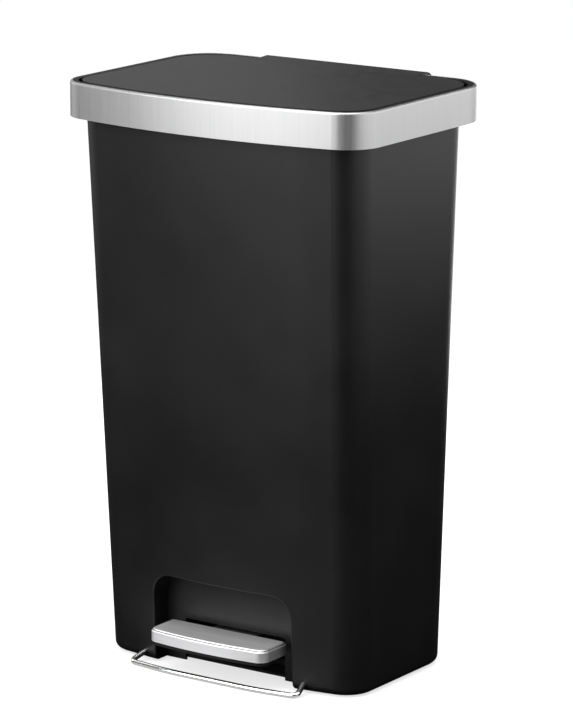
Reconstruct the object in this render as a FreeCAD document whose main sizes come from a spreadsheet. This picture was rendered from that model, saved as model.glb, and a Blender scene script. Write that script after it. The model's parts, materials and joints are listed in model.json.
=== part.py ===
import FreeCAD, Part
import math
import os
import re
import Sketcher
from FreeCAD import Placement, Rotation, Vector

# Pedal trash can: a tapered plastic body under a metal rim band, a lid hinged behind the
# rim, and a pedal in a toe recess that lifts the lid through a lever and a push rod.
#
# Everything is drawn about the centre line of the rim, with X to the right, the front
# towards -Y and the floor at Z = 0. finish() then moves each sub-part by half the hinge
# tab's reach, which puts the origin under the middle of the overall depth. Millimetres.

DOC = FreeCAD.newDocument("PedalTrashCan")

# ---------------------------------------------------------------- driving dimensions

SIZES = {
    # overall outline, seen from above
    "rim_width": 396,
    "rim_depth": 284,
    "rim_height": 650,           # top of the rim above the floor
    "front_bow": 820,            # radius of the bowed front
    "front_corner": 42,
    "rear_corner": 52,
    # body
    "overhang": 15.6,            # how far the rim stands out over the body
    "corner_loss": 7,            # body corners are this much sharper than the rim's
    "side_taper": 12,            # each side, from the band down to the floor
    "front_taper": 30,
    "rear_taper": 14,
    "wall": 2.5,
    "foot_gap": 1.5,             # body edge above the floor
    "edge_round": 8,             # rounding of the body's bottom edge
    "foot_ring": 10,             # height of the thickened bottom edge
    "floor_clear": 2.5,          # floor above the toe recess's wall
    "floor_thick": 3,
    "lip_drop": 16,              # body wall ends this far below the top
    # rim band, collar and bag ring
    "band_height": 39,
    "band_sheet": 1,
    "band_round": 2.5,
    "band_lip": 3,               # width of the band's rolled top
    "ledge_width": 9,            # collar's flush ledge, from the outside of the rim
    "ledge_sheet": 2,
    "ledge_drop": 0.4,
    "collar_wall": 2,
    "collar_web": 2.5,
    "skirt_inset": 18.4,
    "skirt_depth": 14,
    "ring_inset": 16,
    "ring_flange": 8,
    "ring_sheet": 2,
    "ring_depth": 32,
    # lid and hinge
    "lid_thick": 2.5,
    "lid_gap": 11.5,             # lid edge to the outside of the rim
    "lid_rounder": 7,            # lid corners are rounder than the rim's by this much
    "lid_skirt": 10,
    "liner_inset": 17,
    "liner_depth": 9,
    "hinge_behind": 4,           # hinge axis behind the rim's back edge
    "hinge_drop": 12,            # hinge axis below the top of the rim
    "tab_rise": 1.6,             # top of the hinge tab above the rim
    "tab_half": 107,
    "knuckle_half": 103,
    "housing_screw_drop": 26,    # housing screws below the hinge axis
    "hinge_pin": 2.5,            # radius
    "crank_radius": 26,
    "crank_dip": 39,             # degrees below level when the lid is shut
    # toe recess
    "recess_half": 92,
    "recess_top": 105,
    "recess_round": 25,
    "recess_soft": 2,            # rounding of the recess's front edge
    "recess_back": 68,           # back wall in front of the rim's centre line
    "slot_half": 67,
    "slot_clear": 4,             # slot's top edge above the pedal lever
    # pedal
    "axle_back": 27,             # axle in front of the rim's centre line
    "axle_height": 35,
    "axle_radius": 4,
    "pedal_half": 78,
    "pedal_front": 130,
    "pedal_rear": 78,
    "pedal_round": 12,
    "pedal_back_round": 6,
    "pad_wall": 3.5,
    "pad_drop": 2.5,             # underside of the pad below the axle
    "pedal_bow": 500,
    "cover_sheet": 1.2,
    "cover_tall": 14,
    "cover_bevel": 3,
    "lever_sheet": 2.5,
    "lever_half": 30,
    "lever_tail": 12,
    # push rod
    "rod_radius": 2.5,
    "rod_gap": 5,                # rod axis in front of the rear wall
    "guide_radius": 4.8,
    "clevis_offset": 10,
    # base
    "plate_low": 4,
    "plate_thick": 3,
    "foot_radius": 12,
    # stabiliser bar
    "bar_radius": 3,
    "bar_half": 107,             # legs, each side
    "bar_front": 118,
    "bar_leg_height": 10.2,
    # fasteners, radii
    "screw": 2,
    "screw_head": 3.5,
    "small_screw": 1.5,
    "small_head": 3,
    "link_pin": 2.5,             # crank pin
    "tail_pin": 3,               # pin at the lever's rear end
    # clearances
    "running": 0.05,             # radial, a shaft in its bush
    "slack": 0.3,
}

SHEET = DOC.addObject("Spreadsheet::Sheet", "Sizes")
for row, (alias, value) in enumerate(SIZES.items(), start=1):
    SHEET.set(f"A{row}", alias.replace("_", " "))
    SHEET.set(f"B{row}", str(value))
    SHEET.setAlias(f"B{row}", alias)
DOC.recompute()

# Places worked out from the cells, as expression text.
BAND_LOW = "(rim_height - band_height)"
BODY_TOP = "(rim_height - lip_drop)"
WEB_TOP = f"({BODY_TOP} + collar_web)"
RING_TOP = f"({WEB_TOP} + ring_sheet)"
BODY_FOOT = "foot_gap"
FLOOR_LOW = "(recess_top + wall + floor_clear)"
INNER_FLOOR = f"({FLOOR_LOW} + floor_thick)"
PLATE_TOP = "(plate_low + plate_thick)"
HINGE_Y = "(rim_depth / 2 + hinge_behind)"
HINGE_Z = "(rim_height - hinge_drop)"
TAB_ROUND = "(hinge_drop + tab_rise)"
HOUSING_SCREW_Z = f"({HINGE_Z} - housing_screw_drop)"
CRANK_Y = f"({HINGE_Y} - crank_radius * cos(crank_dip))"
CRANK_Z = f"({HINGE_Z} - crank_radius * sin(crank_dip))"
ROD_LIFT = "(2 * crank_radius * sin(crank_dip))"
FRONT_LEAN = f"atan(front_taper / {BAND_LOW})"
REAR_TILT = f"atan(rear_taper / {BAND_LOW})"
REAR_WALL = "(rim_depth / 2 - overhang - rear_taper - wall)"
AXLE_Y = "(-axle_back)"
ROD_FOOT_Y = f"({REAR_WALL} + axle_height * tan({REAR_TILT}) - rod_gap)"
LEVER_REACH = f"({ROD_FOOT_Y} - clevis_offset - {AXLE_Y})"
LEVER_DIP = f"asin({ROD_LIFT} / 2 / {LEVER_REACH})"
TAIL_Y = f"({AXLE_Y} + {LEVER_REACH} * cos({LEVER_DIP}))"
TAIL_Z = f"(axle_height - {ROD_LIFT} / 2)"
LEVER_TOP = "(axle_height + 11)"
PEDAL_TOP = f"({LEVER_TOP} + 4.5)"
TAB_GAP_LOW = f"({HINGE_Z} - {TAB_ROUND} - 1)"
INNER_ROUNDER = "overhang - corner_loss"
SCREW_HOLE = "(screw + running)"
SMALL_HOLE = "(small_screw + running)"
ORIGIN_SHIFT = f"(-(hinge_behind + {TAB_ROUND}) / 2)"

NODES = {}


# ---------------------------------------------------------------- expressions

def sized(text):
    """Expression text with the sheet's name before each cell's alias."""
    def cell(word):
        return "Sizes." + word[0] if word[0] in SIZES else word[0]
    return re.sub(r"[a-z_]+", cell, str(text))


def number(text):
    """The value of an expression now."""
    value = SHEET.evalExpression(sized(text))
    return float(getattr(value, "Value", value))


def bind(item, path, text):
    """Tie a property to an expression."""
    item.setExpression(path, sized(text))


# ---------------------------------------------------------------- primitives

def put(item, x, y, z, axis=None, angle=None):
    """Place an item, turned about an axis if one is given."""
    turn = Rotation(axis, number(angle)) if axis else Rotation()
    item.Placement = Placement(Vector(number(x), number(y), number(z)), turn)
    for name, text in (("x", x), ("y", y), ("z", z)):
        bind(item, f"Placement.Base.{name}", text)
    if axis:
        bind(item, "Placement.Rotation.Angle", angle)
    return item


def box(name, x, y, z):
    """A box from three (low, high) pairs."""
    item = DOC.addObject("Part::Box", name)
    for side, (low, high) in zip(("Length", "Width", "Height"), (x, y, z)):
        bind(item, side, f"({high}) - ({low})")
    return put(item, x[0], y[0], z[0])


def rod_x(name, radius, x, y, z):
    """A cylinder along X from x[0] to x[1]."""
    item = DOC.addObject("Part::Cylinder", name)
    bind(item, "Radius", radius)
    bind(item, "Height", f"({x[1]}) - ({x[0]})")
    return put(item, x[0], y, z, Vector(0, 1, 0), "90")


def rod_y(name, radius, x, y, z):
    """A cylinder along Y from y[0] to y[1]."""
    item = DOC.addObject("Part::Cylinder", name)
    bind(item, "Radius", radius)
    bind(item, "Height", f"({y[1]}) - ({y[0]})")
    return put(item, x, y[0], z, Vector(-1, 0, 0), "90")


def rod_z(name, radius, x, y, z):
    """A cylinder along Z from z[0] to z[1]."""
    item = DOC.addObject("Part::Cylinder", name)
    bind(item, "Radius", radius)
    bind(item, "Height", f"({z[1]}) - ({z[0]})")
    return put(item, x, y, z[0])


def lean(item, x, out, up):
    """Place an item against the leaning rear wall: out is negative into the can."""
    y = f"{REAR_WALL} + ({out}) * cos({REAR_TILT}) + ({up}) * sin({REAR_TILT})"
    z = f"({up}) * cos({REAR_TILT}) - ({out}) * sin({REAR_TILT})"
    return put(item, x, y, z, Vector(-1, 0, 0), REAR_TILT)


def lean_box(name, x, out, up):
    """A box in the rear wall's own frame."""
    return lean(box(name, x, out, up), x[0], out[0], up[0])


def lean_rod(name, radius, x, out, up):
    """A cylinder parallel to the rear wall."""
    return lean(rod_z(name, radius, x, out, up), x, out, up[0])


def lean_peg(name, radius, x, out, up):
    """A cylinder square to the rear wall."""
    item = DOC.addObject("Part::Cylinder", name)
    bind(item, "Radius", radius)
    bind(item, "Height", f"({out[1]}) - ({out[0]})")
    lean(item, x, out[0], up)
    bind(item, "Placement.Rotation.Angle", f"90 deg + {REAR_TILT}")
    return item


def fuse(name, *items):
    """One solid from several."""
    item = DOC.addObject("Part::MultiFuse", name)
    item.Shapes = list(items)
    item.Refine = True
    return item


def cut(name, base, *tools):
    """A solid less one or more tools."""
    item = DOC.addObject("Part::Cut", name)
    item.Base = base
    item.Tool = tools[0] if len(tools) == 1 else fuse(name + "_tools", *tools)
    item.Refine = True
    return item


def common(name, first, second):
    """What two solids share."""
    item = DOC.addObject("Part::Common", name)
    item.Base = first
    item.Tool = second
    item.Refine = True
    return item


def group(name, *items):
    """Separate solids kept as one sub-part."""
    item = DOC.addObject("Part::Compound", name)
    item.Links = list(items)
    return item


def span(sign, low, high):
    """An X span between two distances from the middle, on the side that sign names."""
    return (low, high) if sign > 0 else (f"-({high})", f"-({low})")


def finish(node, item):
    """Name a finished sub-part and move it to the common origin."""
    placed = dict(item.ExpressionEngine).get(".Placement.Base.y", "0")
    item.setExpression("Placement.Base.y", f"{placed} + {sized(ORIGIN_SHIFT)}")
    item.Label = node
    NODES[node] = item


# ---------------------------------------------------------------- sketches

def rim_outline(inset, rounder="0", back=None):
    """The rim's outline, moved in by inset."""
    back = back or inset
    return {
        "half": f"rim_width / 2 - ({inset})",
        "front": f"-rim_depth / 2 + ({inset})",
        "back": f"rim_depth / 2 - ({back})",
        "bow": f"front_bow - ({inset})",
        "front_corner": f"front_corner - ({inset}) + {rounder}",
        "rear_corner": f"rear_corner - ({inset}) + {rounder}",
    }


def body_inset(taper, level):
    """How far the body's outside lies in from the rim's at a level."""
    return f"(overhang + {taper} * (1 - ({level}) / {BAND_LOW}))"


def body_outline(level, inset="0"):
    """The tapered body's outline at a level, moved in by inset."""
    return {
        "half": f"rim_width / 2 - {body_inset('side_taper', level)} - ({inset})",
        "front": f"-rim_depth / 2 + {body_inset('front_taper', level)} + ({inset})",
        "back": f"rim_depth / 2 - {body_inset('rear_taper', level)} - ({inset})",
        "bow": f"front_bow - overhang - ({inset})",
        "front_corner": f"front_corner - corner_loss - ({inset})",
        "rear_corner": f"rear_corner - corner_loss - ({inset})",
    }


def tapered_block(name, low, high, inset="0"):
    """The body's tapered shape between two levels: flat sides and back, bowed leaning front."""
    wedge = DOC.addObject("Part::Wedge", name + "_wedge")
    foot, head = body_outline(low, inset), body_outline(high, inset)
    extents = {
        "Xmin": f"-({foot['half']})", "Xmax": foot["half"],
        "X2min": f"-({head['half']})", "X2max": head["half"],
        "Ymin": low, "Ymax": high,
        "Zmin": f"-({foot['back']})", "Zmax": "rim_depth",
        "Z2min": f"-({head['back']})", "Z2max": "rim_depth",
    }
    for side, text in extents.items():
        setattr(wedge, side, number(text))
        bind(wedge, side, text)
    put(wedge, "0", "0", "0", Vector(1, 0, 0), "90")

    bow = DOC.addObject("Part::Cylinder", name + "_bow")
    bind(bow, "Radius", foot["bow"])
    bind(bow, "Height", f"({high}) - ({low}) + 2 * rim_depth")
    start = f"({low}) - rim_depth"
    put(bow, "0", f"{body_outline(start, inset)['front']} + ({foot['bow']}) / cos({FRONT_LEAN})",
        start, Vector(1, 0, 0), FRONT_LEAN)

    block = common(name + "_block", wedge, bow)
    DOC.recompute()
    tall = number(f"({high}) - ({low})") - 0.01
    corners = [(index, edge) for index, edge in enumerate(block.Shape.Edges, start=1)
               if edge.BoundBox.ZLength > tall]
    rounded = DOC.addObject("Part::Fillet", name + "_corners")
    rounded.Base = block
    near, far = number(foot["front_corner"]), number(foot["rear_corner"])
    rounded.Edges = [(index, *(2 * [near if edge.BoundBox.YMin < 0 else far]))
                     for index, edge in corners]
    return rounded


def draw_outline(sketch, outline):
    """Draw a bowed front, rounded corners, straight sides and a straight back."""
    half, front, back, bow, near, far = (number(text) for text in outline.values())
    centre_y = front + bow
    near_x = half - near
    near_y = centre_y - math.sqrt((bow - near) ** 2 - near_x ** 2)
    swing = math.atan2(near_x, centre_y - near_y)
    far_x, far_y = half - far, back - far
    first = sketch.GeometryCount
    down, right, up = 1.5 * math.pi, 0.0, 0.5 * math.pi

    def arc(x, y, radius, start, end):
        circle = Part.Circle(Vector(x, y, 0), Vector(0, 0, 1), radius)
        sketch.addGeometry(Part.ArcOfCircle(circle, start, end), False)

    def line(x0, y0, x1, y1):
        sketch.addGeometry(Part.LineSegment(Vector(x0, y0, 0), Vector(x1, y1, 0)), False)

    arc(0, centre_y, bow, down - swing, down + swing)
    arc(near_x, near_y, near, down + swing, 2 * math.pi)
    line(half, near_y, half, far_y)
    arc(far_x, far_y, far, right, up)
    line(far_x, back, -far_x, back)
    arc(-far_x, far_y, far, up, math.pi)
    line(-half, far_y, -half, near_y)
    arc(-near_x, near_y, near, math.pi, down - swing)

    edges = 8
    for step in range(edges):
        this, following = first + step, first + (step + 1) % edges
        sketch.addConstraint(Sketcher.Constraint("Tangent", this, 2, following, 1))
    bowed, near_arc, side, far_arc, rear, _, left, left_near = range(first, first + edges)
    sketch.addConstraint(Sketcher.Constraint("PointOnObject", bowed, 3, -2))
    sketch.addConstraint(Sketcher.Constraint("Vertical", side))
    sketch.addConstraint(Sketcher.Constraint("Vertical", left))
    sketch.addConstraint(Sketcher.Constraint("Horizontal", rear))
    sketch.addConstraint(Sketcher.Constraint("Equal", near_arc, left_near))
    sketch.addConstraint(Sketcher.Constraint("Equal", far_arc, far_arc + 2))
    driven = (
        (Sketcher.Constraint("Radius", bowed, bow), outline["bow"]),
        (Sketcher.Constraint("Radius", near_arc, near), outline["front_corner"]),
        (Sketcher.Constraint("Radius", far_arc, far), outline["rear_corner"]),
        (Sketcher.Constraint("DistanceY", bowed, 3, centre_y),
         f"({outline['front']}) + ({outline['bow']})"),
        (Sketcher.Constraint("DistanceY", rear, 1, back), outline["back"]),
        (Sketcher.Constraint("DistanceX", side, 1, half), outline["half"]),
        (Sketcher.Constraint("DistanceX", left, 1, side, 2, 2 * half),
         f"2 * ({outline['half']})"),
    )
    for constraint, text in driven:
        index = sketch.addConstraint(constraint)
        bind(sketch, f"Constraints[{index}]", text)


def draw_polygon(sketch, corners):
    """Draw a closed polygon through corners, each an (x, y) pair of expressions."""
    points = [Vector(number(x), number(y), 0) for x, y in corners]
    count = len(points)
    for step, point in enumerate(points):
        sketch.addGeometry(Part.LineSegment(point, points[(step + 1) % count]), False)
    for step in range(count):
        sketch.addConstraint(Sketcher.Constraint("Coincident", step, 2, (step + 1) % count, 1))
    for step, (x, y) in enumerate(corners):
        for kind, text, value in (("DistanceX", x, points[step].x), ("DistanceY", y, points[step].y)):
            index = sketch.addConstraint(Sketcher.Constraint(kind, step, 1, value))
            bind(sketch, f"Constraints[{index}]", text)


def body_sketch(body, name, level, outlines):
    """A level sketch inside a body, holding one or more outlines."""
    sketch = body.newObject("Sketcher::SketchObject", name)
    planes = [plane for plane in body.Origin.OriginFeatures if plane.Role == "XY_Plane"]
    sketch.AttachmentSupport = [(planes[0], "")]
    sketch.MapMode = "FlatFace"
    bind(sketch, "AttachmentOffset.Base.z", level)
    for outline in outlines:
        draw_outline(sketch, outline)
    return sketch


def profile(name, corners, x):
    """A solid with a polygon in the YZ plane, from x[0] to x[1]."""
    sketch = DOC.addObject("Sketcher::SketchObject", name + "_profile")
    upright = Rotation(Vector(1, 1, 1), 120)
    sketch.Placement = Placement(Vector(number(x[0]), 0, 0), upright)
    bind(sketch, "Placement.Base.x", x[0])
    draw_polygon(sketch, corners)
    return extrude(name, sketch, Vector(1, 0, 0), f"({x[1]}) - ({x[0]})")


def plan(name, corners, z):
    """A solid with a polygon seen from above, from z[0] to z[1]."""
    sketch = DOC.addObject("Sketcher::SketchObject", name + "_plan")
    bind(sketch, "Placement.Base.z", z[0])
    draw_polygon(sketch, corners)
    return extrude(name, sketch, Vector(0, 0, 1), f"({z[1]}) - ({z[0]})")


def extrude(name, sketch, direction, length):
    """A solid from a sketch."""
    item = DOC.addObject("Part::Extrusion", name)
    item.Base = sketch
    item.DirMode = "Custom"
    item.Dir = direction
    item.Solid = True
    bind(item, "LengthFwd", length)
    return item


# ---------------------------------------------------------------- body features

def new_body(name):
    return DOC.addObject("PartDesign::Body", name)


def pad(body, name, level, height, *outlines):
    """Add the space between outlines, upwards from a level."""
    item = body.newObject("PartDesign::Pad", name)
    item.Profile = body_sketch(body, name + "_outline", level, outlines)
    bind(item, "Length", height)
    return item


def pocket(body, name, level, depth, *outlines):
    """Take away the space inside an outline, downwards from a level."""
    DOC.recompute()
    before = body.Shape.Volume
    item = body.newObject("PartDesign::Pocket", name)
    item.Profile = body_sketch(body, name + "_outline", level, outlines)
    bind(item, "Length", depth)
    DOC.recompute()
    if body.Shape.Volume >= before:
        raise RuntimeError(f"{name} cuts nothing")
    return item


def edges_at(shape, height):
    """Names of the edges that lie level at a height."""
    return [f"Edge{index}" for index, edge in enumerate(shape.Edges, start=1)
            if abs(edge.BoundBox.ZMin - height) < 1e-4 and abs(edge.BoundBox.ZMax - height) < 1e-4]


def round_level(body, base, name, height, radius):
    """Round the edges of a body's feature at one level."""
    DOC.recompute()
    item = body.newObject("PartDesign::Fillet", name)
    item.Base = (base, edges_at(base.Shape, number(height)))
    bind(item, "Radius", radius)
    return item


def bevel_level(body, base, name, height, width):
    """Bevel the edges of a body's feature at one level."""
    DOC.recompute()
    item = body.newObject("PartDesign::Chamfer", name)
    item.Base = (base, edges_at(base.Shape, number(height)))
    bind(item, "Size", width)
    return item


# ---------------------------------------------------------------- outer body

RECESS_BACK_Y = "(-recess_back)"
FAR_FRONT = "(-rim_depth / 2 - 20)"
BOSSES = (("rim_width / 2 - 58", "-25"), ("rim_width / 2 - 58", "55"))
HOUSING_SCREWS_X = ("40", "80")
CHANNEL_SCREWS_UP = (f"{INNER_FLOOR} + 50", "rim_height / 2 + 35", "rim_height - 90")


def arch(name, half, top, rounding, y):
    """An upright arch: straight sides down past the floor, rounded top corners."""
    low = "-10"
    return fuse(
        name,
        box(name + "_middle", (f"-({half}) + ({rounding})", f"({half}) - ({rounding})"), y, (low, top)),
        box(name + "_sides", (f"-({half})", half), y, (low, f"({top}) - ({rounding})")),
        *[rod_y(f"{name}_corner_{side}", rounding, f"{sign} * (({half}) - ({rounding}))", y,
                f"({top}) - ({rounding})")
          for side, sign in (("right", 1), ("left", -1))])


def make_outer_body():
    block = tapered_block("outside", BODY_FOOT, BODY_TOP)
    DOC.recompute()
    outside = soften(block, "bottom_edge", body_bottom, "edge_round")
    bag_space = tapered_block("bag_space", INNER_FLOOR, f"{BODY_TOP} + 1", "wall")

    opening = new_body("opening")
    pad(opening, "foot_opening", "-5", "foot_ring + 5", body_outline(BODY_FOOT, "wall + edge_round"))
    chamber = fuse("chamber", tapered_block("chamber_space", "foot_ring", FLOOR_LOW, "wall"), opening)
    recess_walls = arch("recess_walls", "recess_half + wall", "recess_top + wall",
                        "recess_round + wall", (FAR_FRONT, f"{RECESS_BACK_Y} + wall"))
    posts = [rod_z(f"boss_{index}_{side}", "5", f"{sign} * ({x})", y, (PLATE_TOP, FLOOR_LOW))
             for index, (x, y) in enumerate(BOSSES) for side, sign in (("right", 1), ("left", -1))]
    hollow = cut("chamber_hollow", chamber, recess_walls, *posts)

    recess = arch("recess_space", "recess_half", "recess_top", "recess_round",
                  (FAR_FRONT, RECESS_BACK_Y))
    slot = box("lever_slot", ("-slot_half", "slot_half"),
               (f"{RECESS_BACK_Y} - 1", f"{RECESS_BACK_Y} + wall + 1"),
               ("-10", f"{LEVER_TOP} + slot_clear"))
    holes = [rod_y(f"bar_hole_{side}", "bar_radius + slack", f"{sign} * bar_half",
                   (FAR_FRONT, "-60"), "bar_leg_height")
             for side, sign in (("right", 1), ("left", -1))]
    holes.append(lean_rod("guide_hole", "guide_radius", "0", "-rod_gap",
                          (f"{INNER_FLOOR} - 15", f"{INNER_FLOOR} + 15")))
    holes.append(box("yoke_notch", ("-17", "17"), ("rim_depth / 2 - 30", "rim_depth / 2"),
                     (f"{CRANK_Z} - 9", "rim_height")))
    holes.append(box("clevis_room", ("-8.5", "8.5"), (f"{TAIL_Y} - 9", f"{TAIL_Y} + 14.9"),
                     (f"{TAIL_Z} - 8.5", f"{TAIL_Z} + 8.5")))
    holes += [rod_y(f"housing_hole_{index}", SCREW_HOLE, x, ("rim_depth / 2 - 30", "rim_depth / 2"),
                    HOUSING_SCREW_Z)
              for index, x in enumerate(both(HOUSING_SCREWS_X))]
    holes += [lean_peg(f"channel_hole_{index}", SMALL_HOLE, x, ("-1", "2"), up)
              for index, (x, up) in enumerate(channel_screw_places())]
    holes += [rod_z(f"boss_hole_{index}_{side}", SCREW_HOLE, f"{sign} * ({x})", y, ("plate_low", "25"))
              for index, (x, y) in enumerate(BOSSES) for side, sign in (("right", 1), ("left", -1))]
    shell = cut("body_solid", outside, bag_space, hollow, recess, slot, *holes)
    finish("outer_body", soften(shell, "recess_edge", recess_mouth, "recess_soft"))


def body_bottom(shape):
    """Numbers of the body's bottom edges."""
    return [int(edge[4:]) for edge in edges_at(shape, number(BODY_FOOT))]


def recess_mouth(shape):
    """Numbers of the edges where the recess meets the front wall."""
    half, top = number("recess_half") + 0.1, number("recess_top") + 0.1
    behind, low = number(RECESS_BACK_Y) - 5, number("foot_gap + edge_round / 2")
    return [index for index, edge in enumerate(shape.Edges, start=1)
            if all(abs(point.x) < half and point.y < behind and low < point.z < top
                   for point in edge.discretize(9))]


def soften(base, name, chosen, radius):
    """Round the edges that chosen() picks from a solid."""
    DOC.recompute()
    item = DOC.addObject("Part::Fillet", name)
    item.Base = base
    item.Edges = [(index, number(radius), number(radius)) for index in chosen(base.Shape)]
    return item


def both(distances):
    """Each distance to the right, then to the left."""
    return [f"{sign} * ({x})" for x in distances for sign in (1, -1)]


def channel_screw_places():
    return [(x, up) for up in CHANNEL_SCREWS_UP for x in ("19.5", "-19.5")]


# ---------------------------------------------------------------- rim

def rear_gap(name):
    """The space that the hinge tab needs through the back of the rim."""
    return box(name, ("-tab_half - 3", "tab_half + 3"),
               ("rim_depth / 2 - overhang", "rim_depth / 2 + 5"), (TAB_GAP_LOW, "rim_height + 5"))


def yoke_gap(name, half):
    """The space that the yoke and crank need in the middle of the back."""
    return box(name, (f"-({half})", half), ("rim_depth / 2 - 38", "rim_depth / 2 - 10"),
               (f"{CRANK_Z} - 30", f"{WEB_TOP} + 5"))


def make_rim_band():
    band = new_body("band")
    block = pad(band, "band_block", BAND_LOW, "band_height", rim_outline("0"))
    round_level(band, block, "band_edge", "rim_height", "band_round")
    pocket(band, "band_inside", "rim_height - band_sheet", "band_height", rim_outline("band_sheet"))
    pocket(band, "band_mouth", "rim_height", "band_height", rim_outline("band_lip"))
    finish("rim_band", cut("band_solid", band, rear_gap("band_gap")))


def make_rim_collar():
    collar = new_body("collar")
    top = "(rim_height - band_sheet)"
    inside = "(band_sheet + collar_wall)"
    pad(collar, "collar_block", f"{BAND_LOW} + 1", "band_height - band_sheet - 1",
        rim_outline("band_sheet"))
    pocket(collar, "collar_well", top, f"{top} - {WEB_TOP}", rim_outline(inside))
    pocket(collar, "collar_under", BODY_TOP, "band_height", rim_outline(inside))
    ledge_top = "(rim_height - ledge_drop)"
    pad(collar, "collar_ledge", f"{top} - ledge_sheet", "ledge_sheet",
        rim_outline("band_sheet"), rim_outline("ledge_width"))
    pad(collar, "collar_flush", top, f"{ledge_top} - {top}",
        rim_outline("band_lip + running"), rim_outline("ledge_width"))
    pad(collar, "collar_skirt", f"{WEB_TOP} - skirt_depth", "skirt_depth",
        rim_outline("skirt_inset", INNER_ROUNDER), rim_outline("skirt_inset + 2", INNER_ROUNDER))
    pocket(collar, "collar_mouth", WEB_TOP, "band_height", rim_outline("skirt_inset + 2", INNER_ROUNDER))
    finish("rim_collar", cut("collar_solid", collar,
                             rear_gap("collar_gap"),
                             yoke_gap("collar_notch", "17")))


def make_bag_ring():
    ring = new_body("ring")
    inner = "(ring_inset + ring_flange)"
    mouth = rim_outline(inner, INNER_ROUNDER)
    pad(ring, "ring_block", WEB_TOP, "ring_sheet", rim_outline("ring_inset", INNER_ROUNDER), mouth)
    pad(ring, "ring_skirt", f"{RING_TOP} - ring_depth", "ring_depth",
        rim_outline(f"{inner} - ring_sheet", INNER_ROUNDER), mouth)
    finish("bag_ring", cut("ring_solid", ring, yoke_gap("ring_notch", "18")))


# ---------------------------------------------------------------- hinge on the body

def make_hinge():
    wall_low = f"rim_depth / 2 - {body_inset('rear_taper', HINGE_Z + ' - 34')} + running"
    wall_high = f"rim_depth / 2 - {body_inset('rear_taper', HINGE_Z + ' + 7')} + running"
    knuckle = "(hinge_drop - lid_thick - 0.5)"
    face = f"{HINGE_Y} - 0.8 * {knuckle}"
    corners = ((wall_low, f"{HINGE_Z} - 34"), (face, f"{HINGE_Z} - 34"),
               (face, f"{HINGE_Z} - 0.6 * {knuckle}"), (HINGE_Y, HINGE_Z),
               (f"{HINGE_Y} - 0.6 * {knuckle}", f"{HINGE_Z} + 0.8 * {knuckle}"),
               (wall_high, f"{HINGE_Z} + 0.8 * {knuckle}"))
    across = ("-knuckle_half", "knuckle_half")
    block = fuse("housing_block", profile("housing_web", corners, across),
                 rod_x("housing_knuckle", knuckle, across, HINGE_Y, HINGE_Z))
    notch = box("housing_notch", ("-17", "17"), ("rim_depth / 2 - 30", f"{HINGE_Y} + 15"),
                (f"{CRANK_Z} - 12", "rim_height"))
    bore = rod_x("housing_bore", "hinge_pin", ("-tab_half", "tab_half"), HINGE_Y, HINGE_Z)
    screws = [rod_y(f"housing_thread_{index}", SCREW_HOLE, x, ("rim_depth / 2 - 30", "rim_depth / 2 - 7"),
                    HOUSING_SCREW_Z)
              for index, x in enumerate(both(HOUSING_SCREWS_X))]
    finish("hinge_housing", cut("housing_solid", block, notch, bore, *screws))

    for side, sign in (("right", 1), ("left", -1)):
        pin = rod_x(f"pin_{side}", "hinge_pin", span(sign, "tab_half - 30", "tab_half + 0.5"),
                    HINGE_Y, HINGE_Z)
        finish(f"hinge_pin_{side}", pin)

    inside = f"rim_depth / 2 - {body_inset('rear_taper', HOUSING_SCREW_Z)} - wall"
    heads = [screw_y(f"housing_screw_{index}", x, f"{inside} - 0.1", "10", HOUSING_SCREW_Z)
             for index, x in enumerate(both(HOUSING_SCREWS_X))]
    finish("hinge_screws", group("housing_screws", *heads))


def screw_y(name, x, seat, length, z):
    """A screw along +Y whose pan head ends at seat."""
    return fuse(name, rod_y(name + "_head", "screw_head", x, (f"{seat} - 2", seat), z),
                rod_y(name + "_shank", "screw", x, (f"{seat} - 1", f"{seat} + {length}"), z))


def screw_z(name, x, y, seat, length, sign, head="screw_head", shank="screw"):
    """A screw along Z; its head lies below the seat when sign is 1, above when it is -1."""
    outer = f"{seat} - {sign} * 2.3"
    tip = f"{seat} + {sign} * ({length})"
    ends = (outer, seat) if sign > 0 else (seat, outer)
    run = (outer, tip) if sign > 0 else (tip, outer)
    return fuse(name, rod_z(name + "_head", head, x, y, ends),
                rod_z(name + "_shank", shank, x, y, run))


# ---------------------------------------------------------------- lid

LINER_LOW = "(rim_height - liner_depth)"
LID_UNDER = "(rim_height - lid_thick)"
CRANK_SCREWS = (("4", "rim_depth / 2 - 36"), ("-4", "rim_depth / 2 - 36"))
BUMPERS = (("rim_width / 2 - 21", "-40"), ("rim_width / 2 - 21", "60"))
LINER_SCREWS = (("rim_width / 2 - 50", "-rim_depth / 2 + 50"),
                ("rim_width / 2 - 50", "rim_depth / 2 - 55"))


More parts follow.
